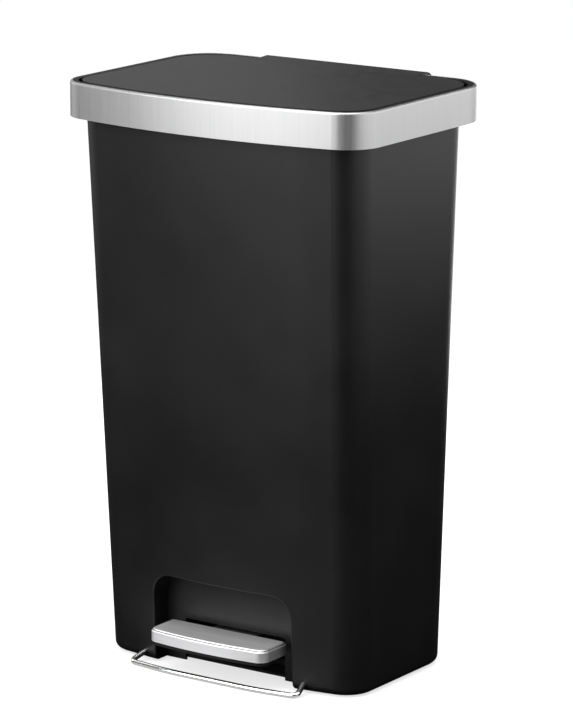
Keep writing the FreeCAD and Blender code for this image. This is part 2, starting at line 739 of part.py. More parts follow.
def make_lid_panel():
    lid = new_body("lid")
    pad(lid, "lid_plate", LID_UNDER, "lid_thick", rim_outline("lid_gap", "lid_rounder"))
    skirt_back = "lid_gap + 4"
    pad(lid, "lid_wall", "rim_height - lid_skirt", "lid_skirt - lid_thick",
        rim_outline("lid_gap", "lid_rounder", skirt_back),
        rim_outline("lid_gap + 2", "lid_rounder", skirt_back + " + 2"))
    trim = box("wall_gap", ("-(tab_half + 1)", "tab_half + 1"),
               ("rim_depth / 2 - 22", "rim_depth / 2"), ("rim_height - 20", LID_UNDER))
    plate = cut("lid_trimmed", lid, trim)

    across = ("-tab_half", "tab_half")
    outer, inner = TAB_ROUND, f"({TAB_ROUND} - lid_thick)"
    bridge_front = "rim_depth / 2 - lid_gap - 10"
    bridge = profile("tab_bridge", ((bridge_front, LID_UNDER), (HINGE_Y, LID_UNDER),
                                    (HINGE_Y, "rim_height + tab_rise"),
                                    (bridge_front, "rim_height")), across)
    roll = cut("tab_roll", rod_x("tab_outer", outer, across, HINGE_Y, HINGE_Z),
               rod_x("tab_inner", inner, ("-tab_half - 1", "tab_half + 1"), HINGE_Y, HINGE_Z),
               tab_opening())
    inside = "(knuckle_half + 0.5)"
    cheeks = [rod_x(f"cheek_{side}", outer, span(sign, inside, "tab_half"), HINGE_Y, HINGE_Z)
              for side, sign in (("right", 1), ("left", -1))]
    bore = rod_x("cheek_bore", "hinge_pin + running", ("-tab_half - 5", "tab_half + 5"),
                 HINGE_Y, HINGE_Z)
    threads = [rod_z(f"crank_thread_{index}", SMALL_HOLE, x, y, (LID_UNDER, f"{LID_UNDER} + 1.5"))
               for index, (x, y) in enumerate(CRANK_SCREWS)]
    joined = fuse("lid_joined", plate, bridge, roll, *cheeks)
    finish("lid_panel", cut("lid_solid", joined, bore, *threads))


def tab_opening():
    """What the rolled tab leaves open: its front and its underside."""
    corners = ((f"{HINGE_Y}", f"{HINGE_Z} + 30"), (f"{HINGE_Y} - 30", f"{HINGE_Z} + 30"),
               (f"{HINGE_Y} - 30", f"{HINGE_Z} - 30"), (f"{HINGE_Y} + 30", f"{HINGE_Z} - 17"),
               (HINGE_Y, HINGE_Z))
    return profile("tab_open", corners, ("-tab_half - 2", "tab_half + 2"))


def make_lid_liner():
    liner = new_body("liner")
    outside = rim_outline("liner_inset", "lid_rounder", "liner_inset + 8")
    inside = rim_outline("liner_inset + 2", "lid_rounder", "liner_inset + 10")
    pad(liner, "liner_block", LINER_LOW, f"{LID_UNDER} - {LINER_LOW}", outside)
    pocket(liner, "liner_hollow", LID_UNDER, f"{LID_UNDER} - {LINER_LOW} - 2", inside)
    notch = box("liner_notch", ("-18", "18"), ("rim_depth / 2 - 46", "rim_depth / 2"),
                ("rim_height - 20", "rim_height"))
    stems = [rod_z(f"bumper_hole_{index}", SCREW_HOLE, x, y, ("rim_height - 20", "rim_height"))
             for index, (x, y) in enumerate(mirror_places(BUMPERS))]
    stems += [rod_z(f"liner_hole_{index}", SCREW_HOLE, x, y, ("rim_height - 20", "rim_height"))
              for index, (x, y) in enumerate(mirror_places(LINER_SCREWS))]
    finish("lid_liner", cut("liner_solid", liner, notch, *stems))

    bumpers = [fuse(f"bumper_{index}",
                    rod_z(f"bumper_disc_{index}", "3.5", x, y, (f"{RING_TOP} + slack", LINER_LOW)),
                    rod_z(f"bumper_stem_{index}", "screw", x, y,
                          (f"{RING_TOP} + slack", f"{LINER_LOW} + 3")))
               for index, (x, y) in enumerate(mirror_places(BUMPERS))]
    finish("lid_bumpers", group("bumpers", *bumpers))
    length = f"({LID_UNDER} - {LINER_LOW})"
    screws = [screw_z(f"liner_screw_{index}", x, y, LINER_LOW, length, 1)
              for index, (x, y) in enumerate(mirror_places(LINER_SCREWS))]
    finish("liner_screws", group("liner_screw_set", *screws))


def mirror_places(places):
    """Each (x, y) place to the right, then to the left."""
    return [(f"{sign} * ({x})", y) for x, y in places for sign in (1, -1)]


def make_lid_crank():
    foot_low = f"{LID_UNDER} - 3"
    foot = box("crank_foot", ("-14", "14"), ("rim_depth / 2 - 42", "rim_depth / 2 - 20"),
               (foot_low, LID_UNDER))
    corners = (("rim_depth / 2 - 38", foot_low + " + 1"), ("rim_depth / 2 - 22", foot_low + " + 1"),
               (f"{CRANK_Y} + 4.6", f"{CRANK_Z} + 3"), (f"{CRANK_Y} - 3", f"{CRANK_Z} - 4.6"))
    arms = []
    for side, sign in (("right", 1), ("left", -1)):
        across = span(sign, "8", "11")
        arms.append(profile(f"crank_arm_{side}", corners, across))
        arms.append(rod_x(f"crank_eye_{side}", "5.5", across, CRANK_Y, CRANK_Z))
    bore = rod_x("crank_bore", "link_pin", ("-15", "15"), CRANK_Y, CRANK_Z)
    holes = [rod_z(f"crank_hole_{index}", SMALL_HOLE, x, y, (f"{foot_low} - 1", LID_UNDER))
             for index, (x, y) in enumerate(CRANK_SCREWS)]
    finish("lid_crank", cut("crank_solid", fuse("crank_joined", foot, *arms), bore, *holes))
    finish("crank_pin", rod_x("crank_pin_rod", "link_pin", ("-12.5", "12.5"), CRANK_Y, CRANK_Z))
    screws = [screw_z(f"crank_screw_{index}", x, y, foot_low, "4.5", 1,
                      "small_head", "small_screw")
              for index, (x, y) in enumerate(CRANK_SCREWS)]
    finish("crank_screws", group("crank_screw_set", *screws))


# ---------------------------------------------------------------- push rod

ROD_LOW = "30"
ROD_HIGH = f"({CRANK_Z} - 8)"


def make_push_rod():
    finish("push_rod", lean_rod("rod", "rod_radius", "0", "-rod_gap", (ROD_LOW, ROD_HIGH)))

    pin_play = "0.8"
    head = box("yoke_head", ("-3", "3"), (f"{CRANK_Y} - 14.5", f"{CRANK_Y} + 5.8"),
               (f"{CRANK_Z} - 6.8", f"{CRANK_Z} + 6.8"))
    boss = lean_rod("yoke_boss", "4.2", "0", "-rod_gap", (f"{CRANK_Z} - 26", f"{CRANK_Z} - 4"))
    ends = (f"{CRANK_Y} - crank_radius * (1 - cos(crank_dip)) - 1", f"{CRANK_Y} + 0.4")
    slot_radius = f"link_pin + {pin_play}"
    slot = box("yoke_slot", ("-5", "5"), ends,
               (f"{CRANK_Z} - ({slot_radius})", f"{CRANK_Z} + {slot_radius}"))
    rounds = [rod_x(f"yoke_slot_end_{index}", slot_radius, ("-5", "5"), end, CRANK_Z)
              for index, end in enumerate(ends)]
    bore = lean_rod("yoke_bore", "rod_radius", "0", "-rod_gap", (f"{CRANK_Z} - 30", ROD_HIGH))
    finish("rod_yoke", cut("yoke_solid", fuse("yoke_joined", head, boss), slot, bore, *rounds))

    block = box("clevis_block", ("-7.5", "7.5"), (f"{TAIL_Y} - 8", f"{TAIL_Y} + 14"),
                (f"{TAIL_Z} - 7.5", f"{TAIL_Z} + 7.5"))
    neck = lean_rod("clevis_neck", "4", "0", "-rod_gap", (TAIL_Z, f"{TAIL_Z} + 30"))
    play = "0.35"
    reach = (f"{TAIL_Y} - 0.9", f"{TAIL_Y} + {LEVER_REACH} * (1 - cos({LEVER_DIP}))")
    tail_slot = box("clevis_slot", ("-10", "10"), reach,
                    (f"{TAIL_Z} - tail_pin - {play}", f"{TAIL_Z} + tail_pin + {play}"))
    tail_rounds = [rod_x(f"clevis_slot_end_{index}", f"tail_pin + {play}", ("-10", "10"), end, TAIL_Z)
                   for index, end in enumerate(reach)]
    socket = lean_rod("clevis_bore", "rod_radius", "0", "-rod_gap", (ROD_LOW, f"{TAIL_Z} + 40"))
    finish("rod_clevis", cut("clevis_solid", fuse("clevis_joined", block, neck),
                             tail_slot, socket, *tail_rounds))


def make_rod_channel():
    up = (f"{INNER_FLOOR} + 3", f"{CRANK_Z} - 22")
    outer = lean_box("channel_outer", ("-15", "15"), ("-rod_gap - 5.8", "-0.1"), up)
    flange = lean_box("channel_flange", ("-24", "24"), ("-1.6", "-0.1"), up)
    inner = lean_box("channel_inner", ("-13.4", "13.4"), ("-rod_gap - 4.2", "1"),
                     (INNER_FLOOR, "rim_height"))
    holes = [lean_peg(f"flange_hole_{index}", SMALL_HOLE, x, ("-5", "1"), place)
             for index, (x, place) in enumerate(channel_screw_places())]
    finish("rod_channel_cover", cut("channel_solid", fuse("channel_joined", outer, flange),
                                    inner, *holes))
    screws = [fuse(f"channel_screw_{index}",
                   lean_peg(f"channel_head_{index}", "small_head", x, ("-3.4", "-1.6"), place),
                   lean_peg(f"channel_shank_{index}", "small_screw", x, ("-2", "2"), place))
              for index, (x, place) in enumerate(channel_screw_places())]
    finish("channel_screws", group("channel_screw_set", *screws))

    bush = lean_rod("guide_bush", "guide_radius", "0", "-rod_gap",
                    (f"{INNER_FLOOR} - 8", f"{INNER_FLOOR} + 2.5"))
    bore = lean_rod("guide_bore", "rod_radius + running", "0", "-rod_gap",
                    (f"{INNER_FLOOR} - 20", f"{INNER_FLOOR} + 20"))
    finish("rod_guide", cut("guide_solid", bush, bore))


# ---------------------------------------------------------------- pedal

def lever_side(name, drop, low, x):
    """The lever's side view; drop lowers the top edge, low opens the bottom."""
    top = f"{LEVER_TOP} - {drop}"
    corners = [("-pedal_front + 12", top), (f"{AXLE_Y} - 6", top),
               (f"{TAIL_Y} - 12", f"{TAIL_Z} + 8 - {drop}"), (f"{TAIL_Y} + 6.5", f"{TAIL_Z} + 8 - {drop}")]
    if low:
        corners += [(f"{TAIL_Y} + 6.5", "-40"), ("-pedal_front + 12", "-40")]
    else:
        corners += [(f"{TAIL_Y} + 6.5", f"{TAIL_Z} - 6.5"), (f"{TAIL_Y} - 18", f"{TAIL_Z} - 6.5"),
                    (f"{AXLE_Y} + 14", "axle_height - 10"), (f"{AXLE_Y} - 18", "axle_height - 9"),
                    (f"{AXLE_Y} - 35", "axle_height - 2"), ("-pedal_front + 12", "axle_height - 2")]
    return profile(name, corners, x)


def lever_plan(name, inset):
    """The lever seen from above: wide at the pedal, narrow at its tail."""
    wide, narrow = f"lever_half - {inset}", f"lever_tail - {inset}"
    ends = ("-pedal_front", f"{AXLE_Y} + 17", f"{TAIL_Y} - 28", f"{TAIL_Y} + 20")
    right = [(wide, ends[0]), (wide, ends[1]), (narrow, ends[2]), (narrow, ends[3])]
    left = [(f"-({x})", y) for x, y in reversed(right)]
    return plan(name, right + left, ("-50", "axle_height + 50"))


def make_pedal_lever():
    across = ("-lever_half - 5", "lever_half + 5")
    outer = common("lever_outer", lever_side("lever_side_outer", "0", False, across),
                   lever_plan("lever_plan_outer", "0"))
    inner = common("lever_inner", lever_side("lever_side_inner", "lever_sheet", True, across),
                   lever_plan("lever_plan_inner", "lever_sheet"))
    rod_gap = box("tail_opening", ("-(lever_tail - lever_sheet)", "lever_tail - lever_sheet"),
                  (f"{TAIL_Y} - 11", f"{TAIL_Y} + 30"), ("0", "axle_height + 40"))
    bores = rod_x("bush_seats", BUSH_OUTER, across, AXLE_Y, "axle_height")
    tail = rod_x("tail_bore", "tail_pin", across, TAIL_Y, TAIL_Z)
    threads = [rod_z(f"pad_hole_{index}", SCREW_HOLE, x, y, ("axle_height", "axle_height + 40"))
               for index, (x, y) in enumerate(mirror_places(PAD_SCREWS))]
    finish("pedal_lever", cut("lever_solid", outer, inner, rod_gap, bores, tail, *threads))
    finish("lever_pin", rod_x("lever_pin_rod", "tail_pin", ("-lever_tail - 1.5", "lever_tail + 1.5"),
                              TAIL_Y, TAIL_Z))


BUSH_OUTER = "(axle_radius + 2)"
PAD_SCREWS = (("14", "-pedal_front + 20"), ("14", "-pedal_rear - 10"))


def make_axle():
    bushes = []
    for side, sign in (("right", 1), ("left", -1)):
        sleeve = rod_x(f"bush_sleeve_{side}", BUSH_OUTER,
                       span(sign, "lever_half - lever_sheet", "lever_half + 1.5"), AXLE_Y, "axle_height")
        flange = rod_x(f"bush_flange_{side}", f"{BUSH_OUTER} + 2",
                       span(sign, "lever_half", "lever_half + 1.5"), AXLE_Y, "axle_height")
        bore = rod_x(f"bush_bore_{side}", "axle_radius + running",
                     span(sign, "lever_half - 10", "lever_half + 10"), AXLE_Y, "axle_height")
        bushes.append(cut(f"bush_{side}", fuse(f"bush_joined_{side}", sleeve, flange), bore))
    finish("lever_bushes", group("bushes", *bushes))
    finish("pedal_axle", rod_x("axle", "axle_radius", ("-lever_half - 21", "lever_half + 21"),
                               AXLE_Y, "axle_height"))

    screws = []
    for side, sign in (("right", 1), ("left", -1)):
        across = span(sign, "lever_half + 2", "lever_half + 18")
        y = (f"{AXLE_Y} - 10", f"{AXLE_Y} + 10")
        post = box(f"block_post_{side}", across, y, (PLATE_TOP, "axle_height"))
        head = rod_x(f"block_head_{side}", "10", across, AXLE_Y, "axle_height")
        foot = box(f"block_foot_{side}", span(sign, "lever_half + 2", "lever_half + 32"), y,
                   (PLATE_TOP, f"{PLATE_TOP} + 4"))
        bore = rod_x(f"block_bore_{side}", "axle_radius", span(sign, "lever_half", "lever_half + 40"),
                     AXLE_Y, "axle_height")
        x = f"{sign} * (lever_half + 25)"
        hole = rod_z(f"block_hole_{side}", SCREW_HOLE, x, AXLE_Y, ("0", "axle_height"))
        block = fuse(f"block_joined_{side}", post, head, foot)
        finish(f"axle_block_{side}", cut(f"block_{side}", block, bore, hole))
        screws.append(screw_z(f"block_screw_{side}", x, AXLE_Y, f"{PLATE_TOP} + 4",
                              "plate_thick + 4", -1))
    finish("block_screws", group("block_screw_set", *screws))
    finish("lever_stop", box("stop", ("-lever_half + 2", "lever_half - 2"),
                             (f"{AXLE_Y} - 26", f"{AXLE_Y} - 20"), (PLATE_TOP, "axle_height - 13.7")))


def pedal_outline(inset):
    """The pedal seen from above, moved in by inset, from a bowed block."""
    return {
        "half": f"pedal_half - ({inset})",
        "front": f"-pedal_front + ({inset})",
        "back": f"-pedal_rear - ({inset})",
        "bow": f"pedal_bow - ({inset})",
        "front_corner": f"pedal_round - ({inset})",
        "rear_corner": f"pedal_back_round - ({inset})",
    }


def make_pedal_pad():
    low = "(axle_height - pad_drop)"
    cover_low = f"({PEDAL_TOP} - cover_tall)"
    under = f"({PEDAL_TOP} - cover_sheet)"
    pad_body = new_body("pad_body")
    pad(pad_body, "pad_block", low, f"{under} - {low}", pedal_outline("cover_sheet"))
    pocket(pad_body, "pad_hollow", LEVER_TOP, f"{LEVER_TOP} - {low} + 1", pedal_outline("pad_wall"))
    threads = [rod_z(f"pad_thread_{index}", SCREW_HOLE, x, y, (LEVER_TOP, f"{LEVER_TOP} + 2.5"))
               for index, (x, y) in enumerate(mirror_places(PAD_SCREWS))]
    doorway = box("pad_doorway", ("-lever_half - slack", "lever_half + slack"),
                  ("-pedal_rear - 10", "-pedal_rear + 10"), ("0", LEVER_TOP))
    finish("pedal_pad", cut("pad_solid", pad_body, doorway, *threads))

    cover = new_body("cover")
    block = pad(cover, "cover_block", cover_low, "cover_tall", pedal_outline("0"))
    bevel_level(cover, block, "cover_edge", PEDAL_TOP, "cover_bevel")
    pocket(cover, "cover_hollow", under, "cover_tall", pedal_outline("cover_sheet"))
    back = box("cover_back", ("-pedal_half + 6", "pedal_half - 6"),
               ("-pedal_rear - cover_sheet", "-pedal_rear + 5"), ("0", f"{PEDAL_TOP} - 4.5"))
    finish("pedal_cover", cut("cover_solid", cover, back))
    screws = [screw_z(f"pad_screw_{index}", x, y, f"{LEVER_TOP} - lever_sheet", "lever_sheet + 2.5", 1)
              for index, (x, y) in enumerate(mirror_places(PAD_SCREWS))]
    finish("pedal_screws", group("pad_screw_set", *screws))


# ---------------------------------------------------------------- base

FEET = (("rim_width / 2 - 64", "-52"), ("rim_width / 2 - 64", "rim_depth / 2 - 62"))
CLIP_X = "(bar_half + 9.5)"


def make_base():
    plate = new_body("plate")
    pad(plate, "plate_pad", "plate_low", "plate_thick",
        body_outline(BODY_FOOT, "wall + edge_round + slack"))
    front = box("plate_front", ("-(recess_half + wall + slack)", "recess_half + wall + slack"),
                (FAR_FRONT, f"{RECESS_BACK_Y} + wall + slack"), ("-10", "20"))
    holes = [rod_z(f"plate_hole_{index}", SCREW_HOLE, x, y, ("-10", "20"))
             for index, (x, y) in enumerate(mirror_places(BOSSES + ((CLIP_X, "-62"),)))]
    holes += [rod_z(f"plate_block_hole_{index}", SCREW_HOLE, x, AXLE_Y, ("-10", "20"))
              for index, x in enumerate(both(("lever_half + 25",)))]
    finish("base_plate", cut("plate_solid", plate, front, *holes))

    feet = [rod_z(f"foot_{index}", "foot_radius", x, y, ("0", "plate_low"))
            for index, (x, y) in enumerate(mirror_places(FEET))]
    finish("rubber_feet", group("feet", *feet))
    screws = [screw_z(f"base_screw_{index}", x, y, "plate_low", "21", 1)
              for index, (x, y) in enumerate(mirror_places(BOSSES))]
    finish("base_screws", group("base_screw_set", *screws))


# ---------------------------------------------------------------- stabiliser bar

def bent_path(points, radii):
    """Straight runs through points, joined by tangent arcs of the given radii."""
    edges, start = [], points[0]
    for before, corner, after, radius in zip(points, points[1:], points[2:], radii):
        back = (before - corner).normalize()
        ahead = (after - corner).normalize()
        half_angle = back.getAngle(ahead) / 2
        reach = radius / math.tan(half_angle)
        enter, leave = corner + back * reach, corner + ahead * reach
        inward = (back + ahead).normalize()
        middle = corner + inward * (radius / math.sin(half_angle) - radius)
        edges.append(Part.LineSegment(start, enter).toShape())
        edges.append(Part.Arc(enter, middle, leave).toShape())
        start = leave
    edges.append(Part.LineSegment(start, points[-1]).toShape())
    return Part.Wire(edges)


def make_stabiliser_bar():
    leg, level = number("bar_half"), number("bar_leg_height")
    front, radius = -number("bar_front"), number("bar_radius")
    right = [Vector(leg, -50, level), Vector(leg, -91, level), Vector(leg + 5, front + 7, radius),
             Vector(leg * 0.55, front + 0.4, radius)]
    left = [Vector(-point.x, point.y, point.z) for point in reversed(right)]
    path = bent_path(right + left, (12, 6, 260, 260, 6, 12))
    ring = Part.Wire([Part.Circle(right[0], Vector(0, 1, 0), radius).toShape()])
    solid = path.makePipeShell([ring], True, False)
    bar = DOC.addObject("Part::Feature", "bar")
    bar.Shape = solid
    finish("stabiliser_bar", bar)

    for side, sign in (("right", 1), ("left", -1)):
        block = box(f"clip_block_{side}", span(sign, "bar_half - 6.5", f"{CLIP_X} + 7"),
                    ("-68", "-56"), (PLATE_TOP, "bar_leg_height + bar_radius + 2"))
        groove = rod_y(f"clip_groove_{side}", "bar_radius", f"{sign} * bar_half", ("-80", "-40"),
                       "bar_leg_height")
        hole = rod_z(f"clip_hole_{side}", SCREW_HOLE, f"{sign} * {CLIP_X}", "-62", ("0", "30"))
        finish(f"bar_clip_{side}", cut(f"clip_{side}", block, groove, hole))
    screws = [screw_z(f"clip_screw_{index}", x, "-62", "bar_leg_height + bar_radius + 2",
                      f"bar_leg_height + bar_radius + 2 - plate_low", -1)
              for index, x in enumerate(both((CLIP_X,)))]
    finish("clip_screws", group("clip_screw_set", *screws))


# ---------------------------------------------------------------- build, check, write

def check_and_write():
    """Refuse failed objects, then write one STEP file per sub-part."""
    DOC.recompute()
    failed = [item.Label for item in DOC.Objects if {"Invalid", "Error"} & set(item.State)]
    if failed:
        raise RuntimeError(f"failed: {failed}")
    os.makedirs("parts", exist_ok=True)
    for node, item in NODES.items():
        shape = item.Shape
        if shape.isNull() or not shape.isValid() or not shape.Solids:
            raise RuntimeError(f"{node} is not a valid solid")
    for node, item in NODES.items():
        item.Shape.exportStep(f"parts/{node}.step")
        print(f"{node:20s} solids {len(item.Shape.Solids):2d}  volume {item.Shape.Volume / 1000:9.2f} cm3")


def main():
    make_outer_body()
    make_rim_band()
    make_rim_collar()
    make_bag_ring()
    make_hinge()
    make_lid_panel()
    make_lid_liner()
    make_lid_crank()
    make_push_rod()
    make_rod_channel()
    make_pedal_lever()
    make_axle()
    make_pedal_pad()
    make_base()
    make_stabiliser_bar()
    check_and_write()


main()
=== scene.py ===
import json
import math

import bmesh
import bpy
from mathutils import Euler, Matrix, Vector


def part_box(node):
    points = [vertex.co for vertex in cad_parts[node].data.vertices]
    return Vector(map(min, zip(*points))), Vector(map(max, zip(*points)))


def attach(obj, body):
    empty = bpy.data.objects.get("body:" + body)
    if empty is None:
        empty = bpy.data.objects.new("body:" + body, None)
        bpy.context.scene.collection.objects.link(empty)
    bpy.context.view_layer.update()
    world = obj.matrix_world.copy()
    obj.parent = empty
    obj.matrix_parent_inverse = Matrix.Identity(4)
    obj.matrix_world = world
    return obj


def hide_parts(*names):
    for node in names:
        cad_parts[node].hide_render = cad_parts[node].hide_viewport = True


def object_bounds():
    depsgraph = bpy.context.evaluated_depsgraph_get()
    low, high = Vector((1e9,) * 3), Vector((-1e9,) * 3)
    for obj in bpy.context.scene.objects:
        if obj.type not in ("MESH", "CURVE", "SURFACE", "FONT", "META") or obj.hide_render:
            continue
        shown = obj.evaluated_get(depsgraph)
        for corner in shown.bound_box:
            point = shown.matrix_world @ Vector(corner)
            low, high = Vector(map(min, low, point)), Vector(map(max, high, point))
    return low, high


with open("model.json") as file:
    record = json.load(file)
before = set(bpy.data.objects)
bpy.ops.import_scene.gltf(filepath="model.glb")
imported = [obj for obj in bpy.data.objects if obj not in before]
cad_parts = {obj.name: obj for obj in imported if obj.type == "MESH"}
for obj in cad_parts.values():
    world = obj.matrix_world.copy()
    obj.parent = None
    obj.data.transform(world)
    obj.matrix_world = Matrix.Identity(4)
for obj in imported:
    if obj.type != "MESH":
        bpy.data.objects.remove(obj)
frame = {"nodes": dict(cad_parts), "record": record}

# %% [markdown]
# # A pedal trash can
#
# A tall black plastic can with a brushed steel band round its mouth. A steel pedal at the
# bottom of the front lifts the lid, and a chromed wire on the floor stops the can tipping.
# The mechanical parts arrive as a fixed frame. Each one keeps its shape and its place, and
# gets the finish that the real piece would have. The box of the frame is kept, and printed
# at the end.

MM = 0.001
cad_low, cad_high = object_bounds()
slot_of = {part["node"]: part["material_slot"] for part in frame["record"]["subparts"]}
slots = {material["slot"] for material in frame["record"]["materials"]}
print("parts:", len(frame["nodes"]), "size in mm:",
      [round(side / MM) for side in cad_high - cad_low])

# %% [markdown]
# ## Node trees in plain words
#
# Every finish below is a small graph of shader nodes. It could be drawn by hand in the shader
# editor, but a script can be read, repeated and changed in one place. Four helpers do most of
# the work: one feeds a socket, one adds a node, one does sums and one stretches a range.

# %% Helpers for nodes
def feed(tree, socket, value):
    """Gives an input socket a value, or links another node's output to it."""
    if isinstance(value, bpy.types.NodeSocket):
        tree.links.new(value, socket)
    else:
        socket.default_value = value


def add_node(tree, kind, settings=None, **inputs):
    """Adds a node. settings are its own options, inputs are socket values or sockets."""
    node = tree.nodes.new(kind)
    for name, value in (settings or {}).items():
        setattr(node, name, value)
    for name, value in inputs.items():
        feed(tree, node.inputs[name.replace("_", " ")], value)
    return node


def arithmetic(tree, operation, *values, clamp=False):
    """One Math node, whose result is handed back."""
    node = tree.nodes.new("ShaderNodeMath")
    node.operation = operation
    node.use_clamp = clamp
    for socket, value in zip(node.inputs, values):
        feed(tree, socket, value)
    return node.outputs[0]


def remap(tree, value, low, high, to_low, to_high):
    """Stretches value from low..high to to_low..to_high, and stops at both ends."""
    node = add_node(tree, "ShaderNodeMapRange", None, Value=value)
    for name, number in (("From Min", low), ("From Max", high),
                         ("To Min", to_low), ("To Max", to_high)):
        node.inputs[name].default_value = number
    return node.outputs["Result"]


print("node helpers ready")

# %% [markdown]
# ## Places and noise
#
# A pattern has to know where on a piece it is. An unwrapped map would do, but these parts
# have none, while an object's own coordinates are in real metres and move with it. So every
# pattern here is noise in those coordinates, and its scale says about how many grains fit in
# a metre.

# %% Coordinates and noise
def stretched(tree, scale):
    """The object's own coordinates, in metres, stretched by scale."""
    place = add_node(tree, "ShaderNodeTexCoord")
    mapping = add_node(tree, "ShaderNodeMapping", None, Vector=place.outputs["Object"])
    mapping.inputs["Scale"].default_value = scale
    return mapping.outputs["Vector"]


def speckle(tree, where, scale, detail=2.0, roughness=0.5):
    """Noise between 0 and 1."""
    node = add_node(tree, "ShaderNodeTexNoise", None, Vector=where, Scale=scale,
                    Detail=detail, Roughness=roughness)
    return node.outputs["Fac"]


EVEN = (1.0, 1.0, 1.0)
print("even stretch:", EVEN)

# %% [markdown]
# ## Effects that are shared
#
# Grain, wear and dust look alike on several materials. Each one becomes a node group, which
# is built once and placed in every material with that material's own values. A group puts
# out only masks and heights. The shader itself stays in the material.

# %% Helpers for groups
def start_group(name, inputs, outputs):
    """A node group with float inputs {name: value} and float outputs, ready to be filled."""
    group = bpy.data.node_groups.new(name, "ShaderNodeTree")
    for title, value in inputs.items():
        socket = group.interface.new_socket(title, in_out="INPUT",
                                            socket_type="NodeSocketFloat")
        socket.default_value = value
    for title in outputs:
        group.interface.new_socket(title, in_out="OUTPUT", socket_type="NodeSocketFloat")
    entry = group.nodes.new("NodeGroupInput")
    result = group.nodes.new("NodeGroupOutput")
    return group, entry.outputs, result.inputs


def use_group(tree, group, **values):
    """Places a group in a material with its own values."""
    return add_node(tree, "ShaderNodeGroup", {"node_tree": group}, **values).outputs


print("group helpers ready")

# %% [markdown]
# ## Moulded skin
#
# The inside of a mould is etched, so black plastic comes out with a fine pebbled skin that
# turns its gloss into satin. The group mixes two sizes of noise for the pebbles and one wide,
# slow noise for the faint flow and handling marks that keep a large wall from looking flat.

# %% Moulded skin group
PEEL_SCALE, CLOUD_SCALE, MOTTLE_SCALE = 240.0, 5.5, 900.0
PEEL_SHARE = 0.35
skin, given, result = start_group(
    "moulded_skin", {"Pebbles per metre": 2600.0, "Cloud": 1.0},
    ("Height", "Cloud", "Mottle"))
tree = skin
place = stretched(tree, EVEN)
pebbles = speckle(tree, place, given["Pebbles per metre"], detail=3.0)
orange_peel = speckle(tree, place, PEEL_SCALE, detail=1.0)
clouds = speckle(tree, place, CLOUD_SCALE, detail=4.0, roughness=0.6)
mottle = speckle(tree, place, MOTTLE_SCALE, detail=2.0)
tree.links.new(arithmetic(tree, "MULTIPLY_ADD", orange_peel, PEEL_SHARE, pebbles),
               result["Height"])
tree.links.new(arithmetic(tree, "MULTIPLY", arithmetic(tree, "SUBTRACT", clouds, 0.5),
                          given["Cloud"]), result["Cloud"])
tree.links.new(mottle, result["Mottle"])
print("group:", skin.name)

# %% [markdown]
# ## Brushed grain
#
# Sheet steel is brushed with an abrasive belt. The belt leaves thousands of fine lines that
# all run one way. Noise that is squeezed across the lines and stretched along them looks the
# same, so the group takes the two stretches as values. Broad streaks and a light smudge sit
# on top of the fine lines, because no belt cuts evenly.

# %% Brushed grain group
LINE_SCALE, STREAK_SCALE, SMUDGE_SCALE = 2200.0, 330.0, 14.0
grain, given, result = start_group(
    "brushed_grain", {"Along X": 1.0, "Along Y": 1.0, "Along Z": 1.0},
    ("Lines", "Streaks", "Smudge"))
tree = grain
place = add_node(tree, "ShaderNodeTexCoord").outputs["Object"]
factors = add_node(tree, "ShaderNodeCombineXYZ", None, X=given["Along X"],
                   Y=given["Along Y"], Z=given["Along Z"]).outputs["Vector"]
product = add_node(tree, "ShaderNodeVectorMath", {"operation": "MULTIPLY"})
tree.links.new(place, product.inputs[0])
tree.links.new(factors, product.inputs[1])
tree.links.new(speckle(tree, product.outputs["Vector"], LINE_SCALE, detail=4.0, roughness=0.7),
               result["Lines"])
tree.links.new(speckle(tree, product.outputs["Vector"], STREAK_SCALE, detail=3.0),
               result["Streaks"])
tree.links.new(speckle(tree, place, SMUDGE_SCALE, detail=3.0), result["Smudge"])
print("group:", grain.name)

# %% [markdown]
# ## Worn edges
#
# Hands, bags and shoes polish the edges of a can long before its walls. The Bevel node looks
# a little way round each point: where its rounded normal differs from the true one there is
# an edge. The difference becomes a mask, broken up by noise so that the wear is patchy.

# %% Worn edge group
EDGE_REACH = 0.9 * MM
PATCH_SCALE = 120.0
# How alike the two normals are where wear starts, and where it is full.
FLAT, SHARP = 0.995, 0.86
wear, given, result = start_group("worn_edge", {"Patchiness": 0.5}, ("Edge",))
tree = wear
rounded = add_node(tree, "ShaderNodeBevel", {"samples": 4}, Radius=EDGE_REACH)
true = add_node(tree, "ShaderNodeNewGeometry")
likeness = add_node(tree, "ShaderNodeVectorMath", {"operation": "DOT_PRODUCT"})
tree.links.new(rounded.outputs["Normal"], likeness.inputs[0])
tree.links.new(true.outputs["Normal"], likeness.inputs[1])
edge = remap(tree, likeness.outputs["Value"], FLAT, SHARP, 0.0, 1.0)
patches = speckle(tree, stretched(tree, EVEN), PATCH_SCALE, detail=3.0)
broken = arithmetic(tree, "MULTIPLY", edge, remap(tree, patches, 0.35, 0.65, 0.0, 1.0))
# A Mix node set to numbers takes them in sockets 2 and 3 and gives its result in socket 0.
gentle = add_node(tree, "ShaderNodeMix", None, Factor=given["Patchiness"])
tree.links.new(edge, gentle.inputs[2])
tree.links.new(broken, gentle.inputs[3])
tree.links.new(gentle.outputs[0], result["Edge"])
print("group:", wear.name)

# %% [markdown]
# ## Settled dust
#
# Dust lies only on what faces up. The group compares the surface's normal with straight up,
# and lets a fine noise thin the layer out.

# %% Settled dust group
GRIT_SCALE = 65.0
